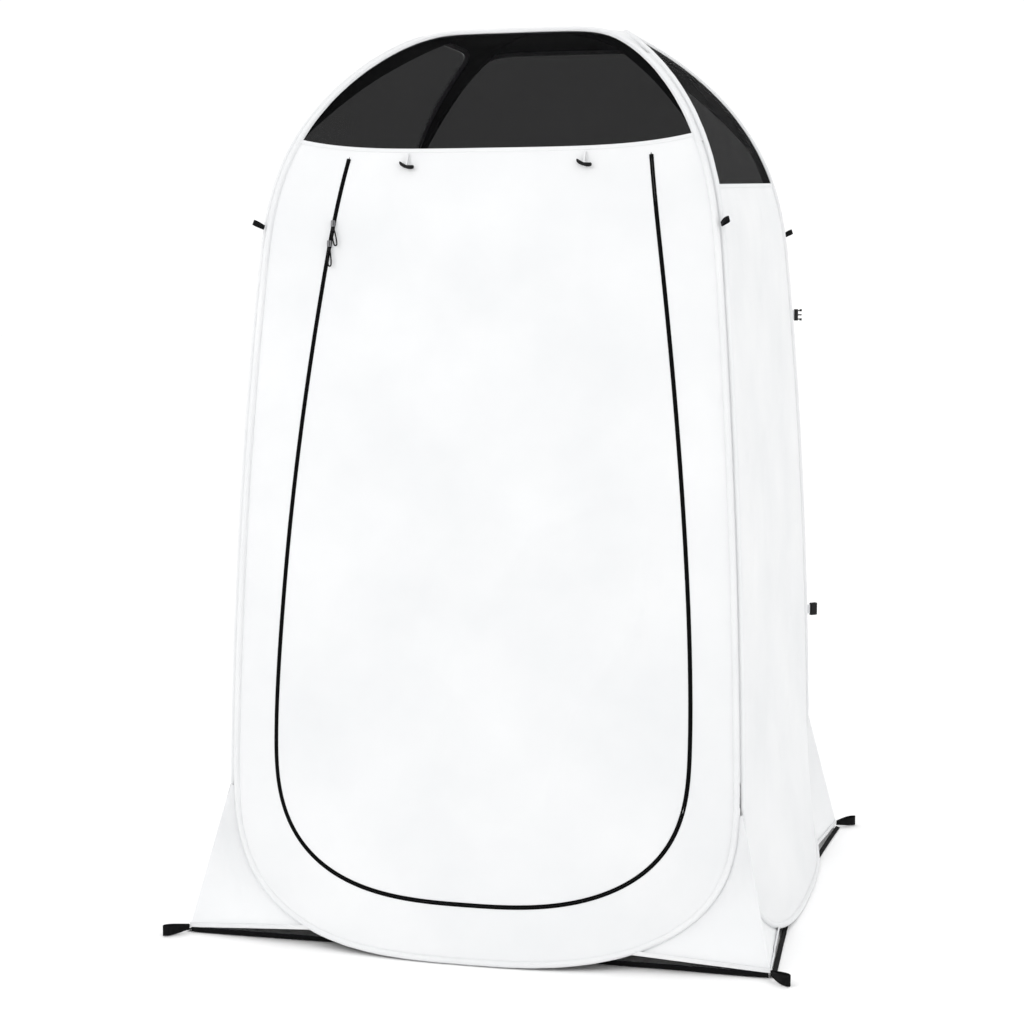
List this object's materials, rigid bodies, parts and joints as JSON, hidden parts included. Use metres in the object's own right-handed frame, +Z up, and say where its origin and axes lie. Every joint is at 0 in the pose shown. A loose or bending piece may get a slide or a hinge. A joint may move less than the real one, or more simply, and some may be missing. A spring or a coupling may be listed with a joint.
{
  "type": "privacy shower tent",
  "caption": "Free-standing pop-up changing and shower tent: wire hoops in sleeves, white walls, zipped door flap, black mesh windows, corner gussets and stake loops.",
  "frame": {"origin": "on the ground, at the middle of the footprint", "axes": "+Z up, -Y out through the door, +X to the right as seen from in front"},
  "size_m": [1.2886, 1.3486, 1.8768],
  "materials": {
    "polyester_white": "coated woven polyester, matte, white outside and dark inside",
    "binding_white": "white binding tape, matte",
    "mesh_black": "fine black mesh, half see-through",
    "webbing_black": "flat woven webbing, black",
    "zip_black": "black coil zip",
    "spring_steel": "spring steel wire",
    "slider_metal": "black painted zinc",
    "pull_cord": "moulded cord pull, black",
    "toggle_plastic": "black moulded plastic",
    "buckle_plastic": "black moulded plastic"
  },
  "bodies": {
    "shelter": {"hoop_front": "spring_steel", "hoop_right": "spring_steel", "hoop_back": "spring_steel", "hoop_left": "spring_steel", "ferrule_front": "spring_steel", "ferrule_right": "spring_steel", "ferrule_back": "spring_steel", "ferrule_left": "spring_steel", "sleeve_front": "binding_white", "sleeve_right": "binding_white", "sleeve_back": "binding_white", "sleeve_left": "binding_white", "front_surround": "polyester_white", "wall_right": "polyester_white", "wall_back": "polyester_white", "wall_left": "polyester_white", "window_front": "mesh_black", "window_right": "mesh_black", "window_back": "mesh_black", "window_left": "mesh_black", "roof_patch": "polyester_white", "gusset_front_right": "polyester_white", "gusset_back_right": "polyester_white", "gusset_back_left": "polyester_white", "gusset_front_left": "polyester_white", "ground_strap_front": "webbing_black", "ground_strap_right": "webbing_black", "ground_strap_back": "webbing_black", "ground_strap_left": "webbing_black", "zip_tape_frame": "zip_black", "zip_end_left": "zip_black", "zip_end_right": "zip_black"},
    "door_upper": {"door_upper": "polyester_white", "zip_tape_door_left": "zip_black", "zip_tape_door_right": "zip_black"},
    "door_lower": {"door_lower": "polyester_white", "zip_tape_door_lower": "zip_black"},
    "zip_slider_upper": {"zip_slider_upper": "slider_metal"},
    "zip_slider_lower": {"zip_slider_lower": "slider_metal"},
    "zip_pull_upper": {"zip_pull_upper": "pull_cord"},
    "zip_pull_lower": {"zip_pull_lower": "pull_cord"},
    "toggle_left": {"toggle_loop_left": "binding_white", "toggle_left": "toggle_plastic"},
    "toggle_right": {"toggle_loop_right": "binding_white", "toggle_right": "toggle_plastic"},
    "stake_loop_front_right": {"stake_loop_front_right": "webbing_black"},
    "stake_loop_back_right": {"stake_loop_back_right": "webbing_black"},
    "stake_loop_back_left": {"stake_loop_back_left": "webbing_black"},
    "stake_loop_front_left": {"stake_loop_front_left": "webbing_black"},
    "guy_loop_front_right": {"guy_loop_front_right": "webbing_black"},
    "guy_loop_back_right": {"guy_loop_back_right": "webbing_black"},
    "guy_loop_back_left": {"guy_loop_back_left": "webbing_black"},
    "guy_loop_front_left": {"guy_loop_front_left": "webbing_black"},
    "buckle_plug": {"buckle_strap_upper": "binding_white", "buckle_plug": "buckle_plastic"},
    "buckle_socket": {"buckle_strap_lower": "binding_white", "buckle_socket": "buckle_plastic"}
  },
  "joints": [
    {"name": "door_swing", "type": "hinge", "parent": "shelter", "child": "door_upper", "pos_m": [0, -0.44611, 1.55023], "axis": [-1, 0, 0], "range_deg": [0, 100]},
    {"name": "door_fold", "type": "hinge", "parent": "door_upper", "child": "door_lower", "pos_m": [0, -0.51453, 0.85012], "axis": [-1, 0, 0], "range_deg": [0, 150]},
    {"name": "zip_slide_upper", "type": "slide", "parent": "door_upper", "child": "zip_slider_upper", "axis": [0.1686, 0.1911, 0.967], "range_m": [0, 0.085]},
    {"name": "zip_slide_lower", "type": "slide", "parent": "door_upper", "child": "zip_slider_lower", "axis": [-0.1562, -0.0858, -0.984], "range_m": [0, 0.152]},
    {"name": "pull_swing_upper", "type": "hinge", "parent": "zip_slider_upper", "child": "zip_pull_upper", "pos_m": [-0.3199, -0.47556, 1.44143], "axis": [-0.866, 0.071, 0.4949], "range_deg": [0, 120]},
    {"name": "pull_swing_lower", "type": "hinge", "parent": "zip_slider_lower", "child": "zip_pull_lower", "pos_m": [-0.32664, -0.4803, 1.40114], "axis": [-0.9925, 0.0131, 0.1212], "range_deg": [0, 120]},
    {"name": "toggle_swing_left", "type": "hinge", "parent": "shelter", "child": "toggle_left", "pos_m": [-0.1715, -0.4355, 1.58684], "axis": [-1, 0, 0], "range_deg": [0, 75]},
    {"name": "toggle_swing_right", "type": "hinge", "parent": "shelter", "child": "toggle_right", "pos_m": [0.1925, -0.4355, 1.58684], "axis": [-1, 0, 0], "range_deg": [0, 75]},
    {"name": "stake_loop_lift_front_right", "type": "hinge", "parent": "shelter", "child": "stake_loop_front_right", "pos_m": [0.60368, -0.60368, 0.0116], "axis": [-0.7071, -0.7071, 0], "range_deg": [0, 80]},
    {"name": "stake_loop_lift_back_right", "type": "hinge", "parent": "shelter", "child": "stake_loop_back_right", "pos_m": [0.60368, 0.60368, 0.0116], "axis": [0.7071, -0.7071, 0], "range_deg": [0, 80]},
    {"name": "stake_loop_lift_back_left", "type": "hinge", "parent": "shelter", "child": "stake_loop_back_left", "pos_m": [-0.60368, 0.60368, 0.0116], "axis": [0.7071, 0.7071, 0], "range_deg": [0, 80]},
    {"name": "stake_loop_lift_front_left", "type": "hinge", "parent": "shelter", "child": "stake_loop_front_left", "pos_m": [-0.60368, -0.60368, 0.0116], "axis": [-0.7071, 0.7071, 0], "range_deg": [0, 80]},
    {"name": "guy_loop_turn_front_right", "type": "hinge", "parent": "shelter", "child": "guy_loop_front_right", "pos_m": [0.47048, -0.47048, 1.442], "axis": [0, 0, 1], "range_deg": [-50, 50]},
    {"name": "guy_loop_turn_back_right", "type": "hinge", "parent": "shelter", "child": "guy_loop_back_right", "pos_m": [0.47048, 0.47048, 1.442], "axis": [0, 0, 1], "range_deg": [-50, 50]},
    {"name": "guy_loop_turn_back_left", "type": "hinge", "parent": "shelter", "child": "guy_loop_back_left", "pos_m": [-0.47048, 0.47048, 1.442], "axis": [0, 0, 1], "range_deg": [-50, 50]},
    {"name": "guy_loop_turn_front_left", "type": "hinge", "parent": "shelter", "child": "guy_loop_front_left", "pos_m": [-0.47048, -0.47048, 1.442], "axis": [0, 0, 1], "range_deg": [-50, 50]},
    {"name": "buckle_plug_turn", "type": "hinge", "parent": "shelter", "child": "buckle_plug", "pos_m": [0.48778, 0.48778, 1.257], "axis": [0, 0, 1], "range_deg": [-50, 50]},
    {"name": "buckle_socket_turn", "type": "hinge", "parent": "shelter", "child": "buckle_socket", "pos_m": [0.52743, 0.52743, 0.55], "axis": [0, 0, 1], "range_deg": [-50, 50]}
  ]
}
